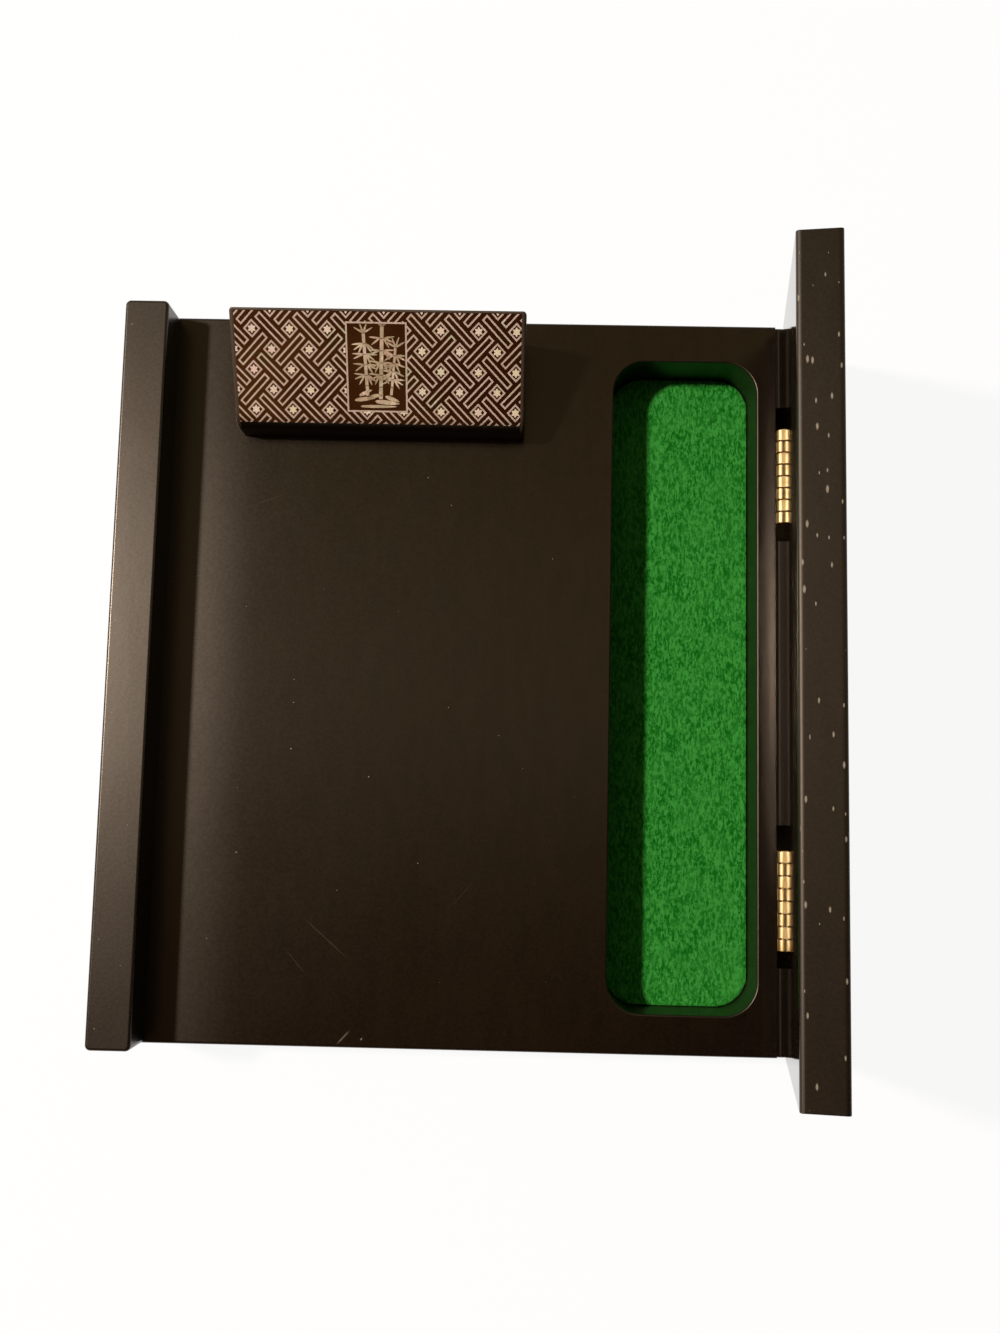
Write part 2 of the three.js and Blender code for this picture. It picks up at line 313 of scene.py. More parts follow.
# boards: roundings, each a radius and its steps, and the gaps between them
boards = {"corner": (1.4 * mm, 6), "edge": (0.8 * mm, 5), "arris": (0.3 * mm, 3), "wellRim": (0.5 * mm, 4),
          "wellCorner": (8.5 * mm, 18), "notchLip": (0.25 * mm, 2), "coverEdge": 1.5 * mm,
          "coverEnd": 0.4 * mm, "coverHeel": 0.15 * mm, "coverSteps": 7, "coverProfile": 0.68,
          "feltGap": 0.1 * mm, "panelRight": 85.2 * mm, "shelfDrop": 1.1 * mm, "overlap": 3 * mm,
          "overshoot": 5 * mm, "notchWidth": 36 * mm, "notchShift": 1.0 * mm, "notchFloor": 14.3 * mm}
topLow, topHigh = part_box("top_board")
blockLow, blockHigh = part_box("head_block")
panelTop = topHigh.z
blockWidth = blockHigh.x - blockLow.x

# most of a noise's values lie between these
noiseRange = (0.3, 0.7)


# lacquer: brown-black and satin, duller where polishing didn't reach, with dust and fine scratches
lacquerLook = {"dark": (0.0024, 0.0014, 0.0006), "light": (0.0052, 0.0031, 0.0014),
               "tint": (1.0, 0.85, 0.73), "ior": 1.56, "grainScale": 260, "grainShare": 0.6,
               "fineScale": 1500, "fineRoughness": 0.012, "smearScale": 30,
               "smearRoughness": (-0.008, 0.012), "rippleScale": 700, "rippleShare": 0.5,
               "waveScale": 170, "waveHeight": 0.010 * mm, "dust": (0.30, 0.26, 0.21),
               "dustStrength": 0.7, "dustRoughness": 0.3, "dustFade": 0.4, "scratchFade": 0.3,
               "facingUp": 0.7}
# a scratch has its start, its end and its half width in mm, and its strength
panelLook = {"roughness": 0.21, "dustScale": 150, "dustShare": 0.10, "dustSize": 0.22 * mm, "seed": 0.0,
             "dullSide": (-48 * mm, -66 * mm), "dull": 0.10,
             "crownFrom": 81.4 * mm, "crownWidth": 4 * mm, "crown": 4.9, "stripDull": 0.035,
             # the shelf's colour and the masks after it paint a lit patch on the shelf and the step's
             # shadow beside it
             "shelfLitColor": (0.021, 0.0165, 0.0125), "shelfBelow": 0.5 * mm,
             "litPatchBack": (78 * mm, 35 * mm), "litPatchFront": (-85 * mm, 0), "litPatchSide": (0.5 * mm, 1.2 * mm),
             "cornerDull": 0.35, "cornerSide": (1.4 * mm, 1.0 * mm),
             "wellRoughness": 0.4, "wallTilt": 0.97, "wallSides": (40 * mm, 82 * mm), "wallEnd": 88 * mm,
             "scratches": [((-36, -62), (-22, -74), 0.08, 0.2), ((-40, -70), (-33, -78), 0.07, 0.15),
                           ((2, -60), (9, -52), 0.06, 0.12), ((-52, 44), (-44, 47), 0.06, 0.14),
                           ((-25.5, -94.3), (-22, -90.5), 0.30, 0.35),
                           ((-19.4, -93.0), (-18.9, -92.4), 0.22, 0.8)]}
railLook = {"roughness": 0.305, "dustScale": 180, "dustShare": 0.08, "dustSize": 0.2 * mm, "seed": 3.1,
            "lean": 0.013}
coverLook = {"roughness": 0.34, "dustScale": 380, "dustShare": 0.55, "dustSize": 0.42 * mm, "seed": 5.7,
             "dustStretch": (1, 0.36, 1), "mirrorRoughness": 0.06, "innerFacing": -0.9,
             "arrisRoughness": 0.48, "arrisTilt": (0.05, 0.975), "wornSide": (81.2 * mm, 79.8 * mm),
             "worn": 0.45}
# the block's rims are painted a lighter brown as a painted highlight on their rounding
blockLook = {"roughness": 0.29, "dustScale": 120, "dustShare": 0.05, "dustSize": 0.2 * mm, "seed": 9.3,
             "rimHighlightColor": (0.036, 0.023, 0.015), "rimRoughness": 0.46, "rimWidth": 1.25 * mm,
             "rimFade": 0.9, "backRim": (0.8 * mm, 0.6 * mm), "rimFacing": 0.1,
             "rimSmear": (0.3, 0.6), "rimCover": (0.75, 1), "back": blockHigh.y,
             "middle": (blockLow.x + blockHigh.x) / 2, "halfLength": blockWidth / 2}


def lookingUp(f):
    return f.facing(2) > lacquerLook["facingUp"]


def dustMask(f, look):
    # small specks on faces that look up
    where = f.node("ShaderNodeMapping", None, {0: f.place(), 1: (look["seed"], look["seed"], 0),
                                               3: look.get("dustStretch", (1, 1, 1))})
    settings = {"voronoi_dimensions": "2D"}
    inputs = {"Vector": where, "Scale": look["dustScale"]}
    distance = f.node("ShaderNodeTexVoronoi", settings, inputs, 0)
    color = f.node("ShaderNodeTexVoronoi", settings, inputs, 1)
    pick = f.node("ShaderNodeSeparateColor", None, {0: color}, 0)
    size = f.node("ShaderNodeSeparateColor", None, {0: color}, 1)
    reach = size * (look["dustSize"] * look["dustScale"])
    share = look["dustShare"]
    if "worn" in look:
        # the edge that is handled has more of them
        share = f.curve(f.along(0), *look["wornSide"], share, share + look["worn"])
    speck = f.curve(distance, reach, reach * lacquerLook["dustFade"])
    return speck * (pick < share) * lookingUp(f)


def scratchMask(f, start, end, width, strength):
    # one fine line between two points of the panel, fading towards its ends
    run = Vector(end) - Vector(start)
    middle = (Vector(end) + Vector(start)) / 2 * mm
    inputs = {0: f.place(), 1: (middle.x, middle.y, 0), 2: (0, 0, math.atan2(run.y, run.x))}
    where = f.node("ShaderNodeMapping", {"vector_type": "TEXTURE"}, inputs)
    along = f.node("ShaderNodeSeparateXYZ", None, {0: where}, 0)
    across = f.node("ShaderNodeSeparateXYZ", None, {0: where}, 1)
    fade = lacquerLook["scratchFade"]
    line = f.curve(abs(across), width * mm, width * fade * mm)
    length = run.length / 2 * mm
    return line * f.curve(abs(along), length, length * fade) * strength


def panelWearAndPaintedLight(f, look, color, rough):
    # the bay's dull left side, the strip beside the well, the shelf with its painted lit patch and painted
    # step shadow, and the well's walls
    side, depth, height = (f.along(axis) for axis in range(3))
    up = lookingUp(f)
    rough = rough + f.curve(side, *look["dullSide"], 0, look["dull"])
    rough = rough + (side > look["crownFrom"]) * up * look["stripDull"]
    # the shelf under the cover gets a painted lit patch, lighter grey-brown around its middle where the
    # lamp's highlight falls, with a painted shadow at the step's foot; polishing missed its inner corner
    past = side - boards["panelRight"]
    onShelf = (past > 0.1 * mm) * up * (height < panelTop - look["shelfBelow"])
    litPatch = f.curve(depth, *look["litPatchBack"]) * f.curve(depth, *look["litPatchFront"])
    litPatch = litPatch * f.curve(past, *look["litPatchSide"])
    color = f.mix(onShelf * litPatch, color, look["shelfLitColor"])
    rough = rough + onShelf * f.curve(past, *look["cornerSide"]) * look["cornerDull"]
    # the pen well's walls were never polished
    left, right = look["wallSides"]
    inWell = (f.facing(2) < look["wallTilt"]) * (side > left) * (side < right)
    inWell = inWell * (abs(depth) < look["wallEnd"])
    return color, rough + inWell * (look["wellRoughness"] - look["roughness"])


def paintRimHighlight(f, look, smear, color, rough):
    # the block's side and back rims get a painted highlight: a lighter brown mixed in, patchy by a smear
    # noise, and they are made rougher
    fromEnd = abs(f.along(0) - look["middle"])
    inner = look["halfLength"] - look["rimWidth"]
    rim = f.curve(fromEnd, inner, look["halfLength"] - look["rimWidth"] * look["rimFade"])
    backFrom, backTo = (look["back"] - width for width in look["backRim"])
    rim = rim.maths("MAXIMUM", f.curve(f.along(1), backFrom, backTo))
    rim = rim * (f.facing(2) > look["rimFacing"])
    color = f.mix(rim * f.curve(smear, *look["rimSmear"], *look["rimCover"]), color, look["rimHighlightColor"])
    return color, rough + rim * (look["rimRoughness"] - look["roughness"])


def lacquer(name, look):
    f = Finish(name)
    coat = lacquerLook
    grain = f.noise(coat["grainScale"], 4, stretch=(1, 0.3, 1), warp=0.3)
    fine = f.noise(coat["fineScale"], 2)
    tone = f.curve(grain * coat["grainShare"] + fine * (1 - coat["grainShare"]), *noiseRange)
    color = f.mix(tone, coat["dark"], coat["light"])
    marks = dustMask(f, look)
    for scratch in look.get("scratches", []):
        marks = marks.maths("MAXIMUM", scratchMask(f, *scratch) * lookingUp(f))
    color = f.mix(marks * coat["dustStrength"], color, coat["dust"])
    smear = f.noise(coat["smearScale"], 3, stretch=(1, 0.6, 1), warp=0.4)
    rough = look["roughness"] + f.curve(smear, *noiseRange, *coat["smearRoughness"])
    rough = rough + f.curve(fine, *noiseRange, -coat["fineRoughness"], coat["fineRoughness"])
    rough = rough + marks * coat["dustRoughness"]
    if "dull" in look:
        color, rough = panelWearAndPaintedLight(f, look, color, rough)
    if "mirrorRoughness" in look:
        # the cover's inner face is the best polished, its rounded edges the least
        rough = rough + (f.facing(0) < look["innerFacing"]) * (look["mirrorRoughness"] - look["roughness"])
        low, high = look["arrisTilt"]
        rounded = (f.facing(2) > low) * (f.facing(2) < high)
        rough = rough + rounded * (look["arrisRoughness"] - look["roughness"])
    if "rimHighlightColor" in look:
        color, rough = paintRimHighlight(f, look, smear, color, rough)
    ripple = f.noise(coat["rippleScale"], 2) * coat["rippleShare"]
    relief = (ripple + f.noise(coat["waveScale"], 2)) * coat["waveHeight"]
    if "lean" in look:
        # the rail's top falls a little to the left
        relief = relief + f.along(0) * look["lean"]
    if "crown" in look:
        # polishing wore the narrow strip beside the well down towards its edge
        width = look["crownWidth"]
        past = f.curve(f.along(0), look["crownFrom"], look["crownFrom"] + width) * width
        past = past * (f.along(2) > panelTop - look["shelfBelow"])
        relief = relief - past * past * look["crown"]
    return f.finish(Base_Color=color, Roughness=rough, Specular_Tint=coat["tint"], IOR=coat["ior"],
                    Normal=f.bump(relief, 1.0))


# felt: short fibres at half a millimetre, with broader lighter and darker patches
feltLook = {"fleckScale": 1800, "fleckShare": 0.4, "strandScale": 1450, "strandShare": 0.45,
            "crossScale": 1900, "crossShare": 0.15, "lie": (0, 0, 0.3), "tones": (0.41, 0.60),
            "patchScale": 170, "patchFrom": (0.4, 0.75), "patchShare": 0.3, "roughness": 0.95,
            "relief": 0.22 * mm, "specular": 0.03, "sheen": 0.02, "sheenRoughness": 0.5,
            "sheenTint": (0.2, 0.9, 0.2)}


def felt(name, dark, light):
    f = Finish(name)
    look = feltLook
    fleck = f.noise(look["fleckScale"], 2, stretch=(1, 0.55, 1), warp=0.5)
    strand = f.noise(look["strandScale"], 2, stretch=(1, 0.32, 1), turn=look["lie"], warp=0.8)
    cross = f.noise(look["crossScale"], 2, stretch=(0.5, 1, 1), turn=look["lie"], warp=0.8)
    height = fleck * look["fleckShare"] + strand * look["strandShare"] + cross * look["crossShare"]
    color = f.mix(f.curve(height, *look["tones"]), dark, light)
    patches = f.noise(look["patchScale"], 3)
    color = f.mix(f.curve(patches, *look["patchFrom"], 0, look["patchShare"]), color, light)
    return f.finish(Base_Color=color, Roughness=look["roughness"], Specular_IOR_Level=look["specular"],
                    Sheen_Weight=look["sheen"], Sheen_Roughness=look["sheenRoughness"],
                    Sheen_Tint=look["sheenTint"], Normal=f.bump(height, look["relief"]))


# metal and wood
brassLook = {"bright": (0.53, 0.375, 0.185), "stained": (0.38, 0.25, 0.10), "stainScale": 420,
             "stainFrom": (0.45, 0.75), "roughness": 0.41, "stainRoughness": 0.12, "brushScale": 2600,
             "relief": 0.004 * mm}
steelLook = {"bright": (0.52, 0.52, 0.5), "dull": (0.36, 0.35, 0.32), "stainScale": 500,
             "roughness": 0.3, "stainRoughness": 0.2}
woodLook = {"dark": (0.34, 0.19, 0.085), "light": (0.62, 0.42, 0.22), "ringScale": 320, "roughness": 0.75,
            "relief": 0.08 * mm}


def brassFinish():
    f = Finish("polishedBrass")
    stain = f.noise(brassLook["stainScale"], 4, warp=0.8)
    color = f.mix(f.curve(stain, *brassLook["stainFrom"]), brassLook["bright"], brassLook["stained"])
    brush = f.noise(brassLook["brushScale"], 2, stretch=(1, 0.08, 1))
    rough = brassLook["roughness"] + stain * brassLook["stainRoughness"]
    return f.finish(Base_Color=color, Metallic=1.0, Roughness=rough,
                    Normal=f.bump(brush, brassLook["relief"]))


def steelFinish():
    f = Finish("platedSteel")
    stain = f.noise(steelLook["stainScale"], 3)
    color = f.mix(stain, steelLook["bright"], steelLook["dull"])
    rough = steelLook["roughness"] + stain * steelLook["stainRoughness"]
    return f.finish(Base_Color=color, Metallic=1.0, Roughness=rough)


def woodFinish():
    f = Finish("bareBeech")
    rings = f.noise(woodLook["ringScale"], 4, stretch=(1, 1, 0.08), warp=0.7)
    color = f.mix(rings, woodLook["dark"], woodLook["light"])
    return f.finish(Base_Color=color, Roughness=woodLook["roughness"],
                    Normal=f.bump(rings, woodLook["relief"]))


# inlay: a red-brown ground, darker towards the well, and cut shell
groundLook = {"dark": (0.037, 0.0110, 0.0014), "light": (0.060, 0.0220, 0.0042),
              "cloud": (0.034, 0.0092, 0.0016), "farSide": (0.012, 0.0016, 0.0004), "farShare": 0.75,
              "grainScale": 2300, "cloudScale": 60, "cloudFrom": (0.35, 0.65), "roughness": 0.2,
              "waveScale": 500, "relief": 0.008 * mm}
# the sparkle colour paints the lamp's glints on the shell
shellLook = {"sparkleScale": 430, "sparkleFrom": (0.67, 0.74), "sparkle": (0.95, 0.88, 0.76),
             "growthScale": 1700, "growthFrom": (0.35, 0.7), "growthShare": 0.5,
             "roughness": 0.28, "growthRoughness": 0.2, "coat": 0.3, "coatRoughness": 0.12}


def inlayGroundFinish():
    f = Finish("inlayGround")
    look = groundLook
    grain = f.noise(look["grainScale"], 3, warp=0.5)
    cloud = f.noise(look["cloudScale"], 2)
    color = f.mix(grain, look["dark"], look["light"])
    color = f.mix(f.curve(cloud, *look["cloudFrom"]), color, look["cloud"])
    color = f.mix(f.curve(f.along(0), blockLow.x, blockHigh.x) * look["farShare"], color, look["farSide"])
    return f.finish(Base_Color=color, Roughness=look["roughness"], Specular_Tint=lacquerLook["tint"],
                    IOR=lacquerLook["ior"], Normal=f.bump(f.noise(look["waveScale"], 2), look["relief"]))


def shellFinish(name, hues, cellScale, streak, glint):
    # each cell has its own hue, with fine growth lines
    f = Finish(name)
    look = shellLook
    cell = f.node("ShaderNodeTexVoronoi", None, {"Vector": f.place(), "Scale": cellScale}, 1)
    hue = f.node("ShaderNodeSeparateColor", None, {0: cell}, 0)
    sparkle = f.noise(look["sparkleScale"], 2)
    palette = f.ramp(hue, hues)
    lines = f.noise(look["growthScale"], 3, stretch=(1, 0.35, 1), warp=1.5)
    color = f.mix(f.curve(lines, *look["growthFrom"], 0.0, look["growthShare"]), palette, streak)
    # painted glints: cream spots mixed into the colour where a fine noise peaks
    shine = f.curve(sparkle, *look["sparkleFrom"], 0.0, glint)
    color = f.mix(shine, color, look["sparkle"])
    rough = look["roughness"] + lines * look["growthRoughness"]
    return f.finish(Base_Color=color, Roughness=rough, Coat_Weight=look["coat"],
                    Coat_Roughness=look["coatRoughness"])


panelLacquer = lacquer("panelLacquer", panelLook)
railLacquer = lacquer("railLacquer", railLook)
coverLacquer = lacquer("coverLacquer", coverLook)
blockLacquer = lacquer("blockLacquer", blockLook)
wellGreen = felt("wellGreenFelt", (0.003, 0.100, 0.005), (0.035, 0.245, 0.038))
baseGreen = felt("baseGreenFelt", (0.004, 0.030, 0.012), (0.012, 0.065, 0.028))
brass = brassFinish()
steel = steelFinish()
beech = woodFinish()
inlayGround = inlayGroundFinish()
lineHues = [(0.0, (0.475, 0.365, 0.305)), (0.4, (0.515, 0.40, 0.35)), (0.7, (0.535, 0.41, 0.38)),
            (0.93, (0.485, 0.40, 0.32)), (0.995, (0.435, 0.43, 0.33))]
starHues = [(0.0, (0.70, 0.61, 0.49)), (0.35, (0.72, 0.59, 0.53)), (0.65, (0.68, 0.62, 0.43)),
            (0.9, (0.60, 0.61, 0.44)), (0.98, (0.72, 0.53, 0.51))]
bambooHues = [(0.0, (0.66, 0.54, 0.40)), (0.3, (0.30, 0.24, 0.15)), (0.55, (0.60, 0.43, 0.34)),
              (0.8, (0.32, 0.30, 0.20)), (0.98, (0.80, 0.63, 0.52))]
lineShell = shellFinish("lineShell", lineHues, 210, (0.34, 0.24, 0.18), 0.35)
starShell = shellFinish("starShell", starHues, 105, (0.52, 0.37, 0.25), 0.5)
bambooShell = shellFinish("bambooShell", bambooHues, 420, (0.27, 0.17, 0.10), 0.4)
print("materials made")


# boards: the thick one that the pen well is cut through, the one below it, the rail and the cover
feltLow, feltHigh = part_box("well_felt")
gap = Vector((boards["feltGap"], boards["feltGap"], 0))
wellLow = feltLow - gap
wellHigh = feltHigh + gap


def makeTopBoard():
    # the raised panel, then the shelf under the open cover with its two hinge notches
    right = boards["panelRight"]
    board = addSlab("lacquered_top_board", topLow, Vector((right, topHigh.y, panelTop)))
    roundEdges(board, lambda a, b: upright(a, b) and a.x < 0, *boards["corner"])
    atRight = bothAt(0, right)
    roundEdges(board, lambda a, b: atHeight(a, b, panelTop) and not atRight(a, b), *boards["edge"])
    roundEdges(board, lambda a, b: atHeight(a, b, panelTop) and atRight(a, b), *boards["arris"])
    shelfLow = Vector((right - boards["overlap"], topLow.y, topLow.z))
    shelfHigh = Vector((topHigh.x, topHigh.y, panelTop - boards["shelfDrop"]))
    shelf = addSlab("shelf", shelfLow, shelfHigh)
    roundEdges(shelf, lambda a, b: upright(a, b) and a.x > right, *boards["corner"])
    roundEdges(shelf, lambda a, b: atHeight(a, b, shelfHigh.z) and max(a.x, b.x) > right, *boards["edge"])
    combine(board, shelf, "UNION")
    for number in (1, 2):
        pinLow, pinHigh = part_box(f"hinge_{number}_pin")
        centre = (pinLow.y + pinHigh.y) / 2 + boards["notchShift"]
        half = boards["notchWidth"] / 2
        low = Vector((right, centre - half, boards["notchFloor"]))
        notch = addSlab("notch", low, Vector((topHigh.x + mm, centre + half, panelTop + mm)))
        combine(board, notch, "DIFFERENCE")
        roundEdges(board, lambda a, b: atHeight(a, b, shelfHigh.z) and a.x > right - boards["arris"][0]
                   and near(a.y, b.y) and near(abs(a.y - centre), half), *boards["notchLip"])
    overshoot = Vector((0, 0, boards["overshoot"]))
    cutterHigh = Vector((wellHigh.x, wellHigh.y, panelTop)) + overshoot
    cutter = addSlab("wellCutter", wellLow - overshoot, cutterHigh)
    roundEdges(cutter, upright, *boards["wellCorner"])
    combine(board, cutter, "DIFFERENCE")

    def onWell(p):
        return (wellLow.x - mm < p.x < wellHigh.x + mm) and (wellLow.y - mm < p.y < wellHigh.y + mm)

    roundEdges(board, lambda a, b: atHeight(a, b, panelTop) and onWell(a) and onWell(b),
               *boards["wellRim"])
    smooth(board)
    dress(board, panelLacquer, "base", "black_lacquer", "top_board")


def makePlainBoard(name, node, upper, material):
    # upper: it's the top face's edges that are rounded
    low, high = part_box(node)
    board = addSlab(name, low, high)
    roundEdges(board, upright, *boards["corner"])
    roundEdges(board, bothAt(2, high.z if upper else low.z), *boards["edge"])
    smooth(board)
    dress(board, material, "base", "black_lacquer", node)


def makeCover():
    low, high = closedBox("pen_well_cover")
    cover = addSlab("lacquered_cover", low, high)
    weights = cover.data.attributes.new("bevel_weight_edge", "FLOAT", "EDGE")
    for edge in cover.data.edges:
        # the long edges are rounded more than the ends, and the inner heel hardly at all
        a, b = (cover.data.vertices[i].co for i in edge.vertices)
        width = boards["coverEdge"]
        if bothAt(0, high.x)(a, b) and atHeight(a, b, low.z):
            width = boards["coverHeel"]
        elif near(a.y, b.y):
            width = boards["coverEnd"]
        weights.data[edge.index].value = width / boards["coverEdge"]
    applyModifier(cover, "BEVEL", width=boards["coverEdge"], segments=boards["coverSteps"],
                  profile=boards["coverProfile"], limit_method="WEIGHT")
    smooth(cover)
    turnOpen(cover)
    dress(cover, coverLacquer, "cover", "black_lacquer", "pen_well_cover")


makeTopBoard()
makePlainBoard("lacquered_bottom_board", "bottom_board", False, panelLacquer)
makePlainBoard("lacquered_left_rail", "left_rail", True, railLacquer)
makeCover()
print("boards made")


# felts: a fuzzy sheet glued in the well, and a smooth one under the base
felts = {"well_felt": {"name": "well_felt_lining", "corner": boards["wellCorner"][0] - boards["feltGap"],
                       "cornerSteps": 14, "grain": 0.55 * mm, "fuzz": 0.35 * mm, "fuzzSize": 1.1 * mm,
                       "flatRim": 0.6 * mm, "slot": "green_felt"},
         "base_felt": {"name": "base_felt_sheet", "corner": boards["corner"][0], "cornerSteps": 4,
                       "grain": 1.0 * mm, "slot": "dark_felt"}}


def makeFuzz(sheet, look, low, high):
    # sinks the upper face between its fibres, but not at its rim
    cloud = bpy.data.textures.new(look["name"] + "Cloud", "CLOUDS")
    cloud.noise_scale = look["fuzzSize"]
    cloud.noise_depth = 3
    rim = look["flatRim"]
    top = sheet.vertex_groups.new(name="top")
    moved = [v.index for v in sheet.data.vertices
             if v.co.z > high.z - look["grain"] and low.x + rim < v.co.x < high.x - rim
             and low.y + rim < v.co.y < high.y - rim]
    top.add(moved, 1.0, "REPLACE")
    applyModifier(sheet, "DISPLACE", texture=cloud, texture_coords="LOCAL", strength=look["fuzz"],
                  mid_level=1.0, direction="Z", vertex_group="top")


def makeFelt(node, material):
    look = felts[node]
    low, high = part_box(node)
    sheet = addSlab(look["name"], low, high)
    roundEdges(sheet, upright, look["corner"], look["cornerSteps"])
    applyModifier(sheet, "REMESH", mode="VOXEL", voxel_size=look["grain"])
    if "fuzz" in look:
        makeFuzz(sheet, look, low, high)
    smooth(sheet, 60)
    dress(sheet, material, "base", look["slot"], node)
    width, length = high.x - low.x, high.y - low.y
    width * length - (4 - math.pi) * look["corner"] ** 2


makeFelt("well_felt", wellGreen)
makeFelt("base_felt", baseGreen)
print("felt made")


# head block: a slab cut to a slope, with a broad round at the front
block = {"slope": math.radians(27.4), "frontRound": 5 * mm, "frontSteps": 14, "edge": (0.8 * mm, 5),
         "height": 23.1 * mm, "cutOff": 2 * mm}
down = Vector((0, -math.cos(block["slope"]), -math.sin(block["slope"])))
outward = Vector((0, -math.sin(block["slope"]), math.cos(block["slope"])))
apex = Vector((blockLow.x, blockHigh.y, panelTop + block["height"]))


def makeBlock():
    low = Vector((blockLow.x, blockLow.y, panelTop))
    high = Vector((blockHigh.x, blockHigh.y, panelTop + block["height"] + block["cutOff"]))
    wedge = addSlab("lacquered_head_block", low, high)
    editAll(wedge)
    bpy.ops.mesh.bisect(plane_co=apex, plane_no=outward, use_fill=True, clear_outer=True)
    bpy.ops.object.mode_set(mode="OBJECT")

    def alongFront(a, b):
        return bothAt(1, low.y)(a, b) and near(a.z, b.z) and a.z > panelTop + mm

    roundEdges(wedge, alongFront, block["frontRound"] * math.tan((math.pi / 2 - block["slope"]) / 2),
               block["frontSteps"])

    def rims(a, b):
        raised = max(a.z, b.z) > panelTop + mm / 2
        atSide = bothAt(0, low.x)(a, b) or bothAt(0, high.x)(a, b)
        atBack = bothAt(1, high.y)(a, b) and min(a.z, b.z) > panelTop + mm
        return raised and (atSide or atBack)

    roundEdges(wedge, rims, *block["edge"])
    smooth(wedge)
    dress(wedge, blockLacquer, "base", "black_lacquer", "head_block")


makeBlock()
print("head block made")


# inlay: drawn flat, X along the block and -Y down the slope, then laid over the slope and its round front
arcCentreY = blockLow.y + block["frontRound"]
arcRise = block["frontRound"] * math.sin(block["slope"])
arcStart = (apex.y - arcCentreY + arcRise) / math.cos(block["slope"])
arcCentre = apex + down * arcStart - outward * block["frontRound"]
inlay = {"border": 1.2 * mm, "backBorder": 0.9 * mm, "endAngle": math.radians(142), "proud": 0.03 * mm,
         "sheet": 0.3 * mm, "bendSteps": 8}
sheetEnd = arcStart + block["frontRound"] * (inlay["endAngle"] - math.pi / 2 - block["slope"])


def layOnBlock(piece):
    for vertex in piece.data.vertices:
        along, travel, height = vertex.co.x, -vertex.co.y, vertex.co.z
        if travel <= arcStart:
            spot = apex + down * travel + outward * height
        else:
            angle = math.pi / 2 + block["slope"] + (travel - arcStart) / block["frontRound"]
            reach = block["frontRound"] + height
            spot = arcCentre + Vector((0, math.cos(angle), math.sin(angle))) * reach
        vertex.co = (blockLow.x + along, spot.y, spot.z)
    piece.data.update()


def cutFlat(piece, point, normal, clear=True):
    editAll(piece)
    bpy.ops.mesh.bisect(plane_co=point, plane_no=normal, clear_outer=clear)
    bpy.ops.object.mode_set(mode="OBJECT")


def cropFlat(piece, left, right, back, front):
    # back and front are distances down the slope
    cutFlat(piece, (left, 0, 0), (-1, 0, 0))
    cutFlat(piece, (right, 0, 0), (1, 0, 0))
    cutFlat(piece, (0, -back, 0), (0, 1, 0))
    cutFlat(piece, (0, -front, 0), (0, -1, 0))


def thicken(piece, thickness, top):
    # from a flat drawing to a thin plate whose upper face is at the height given
    for vertex in piece.data.vertices:
        vertex.co.z = top
    applyModifier(piece, "SOLIDIFY", thickness=thickness, offset=-1)


def bendCuts(piece):
    # rings of cuts where the block's front is round
    steps = inlay["bendSteps"]
    for i in range(steps + 1):
        travel = arcStart + (sheetEnd - arcStart) * i / steps
        cutFlat(piece, (0, -travel, 0), (0, 1, 0), clear=False)


def makeSheet():
    width = blockWidth - 2 * inlay["border"]
    length = sheetEnd - inlay["backBorder"]
    centre = (blockWidth / 2, -inlay["backBorder"] - length / 2, 0)
    sheet = addPlane("inlay_ground_sheet", width, length, centre)
    thicken(sheet, inlay["sheet"], inlay["proud"])
    bendCuts(sheet)
    layOnBlock(sheet)
    smooth(sheet, 40)
    dress(sheet, inlayGround, "base", "shell_inlay", "shell_inlay")


# lattice of outlined bars and lozenges: in a grid of cells, every other one is a lozenge
lattice = {"columnStep": 4.752 * mm, "rowStep": 5.04 * mm, "firstColumn": 5.62 * mm, "firstRow": 5.3 * mm,
           "barLength": 1.97, "barWidth": 0.385, "lozenge": 0.465, "line": 0.088, "starReach": 0.235,
           "starWaist": 0.135, "columns": range(-2, 18), "rows": range(-2, 7), "thickness": 0.1 * mm,
           "top": 0.08 * mm}
panel = {"left": 29.15 * mm, "right": 44.6 * mm, "back": 3.3 * mm, "front": 25.75 * mm, "line": 0.42 * mm}


def hollowOut(piece, border):
    # leaves only an outline of the flat face
    editAll(piece)
    bpy.ops.mesh.inset(thickness=border, use_even_offset=True)
    bpy.ops.mesh.delete(type="FACE")
    bpy.ops.object.mode_set(mode="OBJECT")
    return piece


def flatStar():
    # a small six-pointed star
    star = addDisc("star", 24, lattice["starReach"])
    for vertex in star.data.vertices:
        angle = math.atan2(vertex.co.y, vertex.co.x)
        arm = 0.5 - 0.5 * math.cos(6 * angle)
        reach = lattice["starWaist"] + (lattice["starReach"] - lattice["starWaist"]) * arm
        vertex.co = vertex.co.normalized() * reach
    return star


def layShell(piece, material, bent=False):
    thicken(piece, lattice["thickness"], lattice["top"])
    if bent:
        bendCuts(piece)
    layOnBlock(piece)
    dress(piece, material, "base", "shell_inlay")


def layPattern(drawn, name, material):
    # scales the drawn cells, crops them to the fields round the centre panel and lays them
    whole = joinAll(drawn, "cells")
    whole.scale = (lattice["columnStep"], lattice["rowStep"], 1)
    whole.location = (lattice["firstColumn"], -lattice["firstRow"], 0)
    applyPlace(whole)
    back, left, right = inlay["backBorder"], panel["left"], panel["right"]
    fields = [(inlay["border"], left, back, sheetEnd),
              (right, blockWidth - inlay["border"], back, sheetEnd),
              (left, right, back, panel["back"]),
              (left, right, panel["front"], sheetEnd)]
    cropped = []
    for field in fields:
        part = copyTo(whole, (0, 0, 0))
        cropFlat(part, *field)
        if part.data.polygons:
            cropped.append(part)
        else:
            discard(part)
    discard(whole)
    layShell(joinAll(cropped, name), material, True)


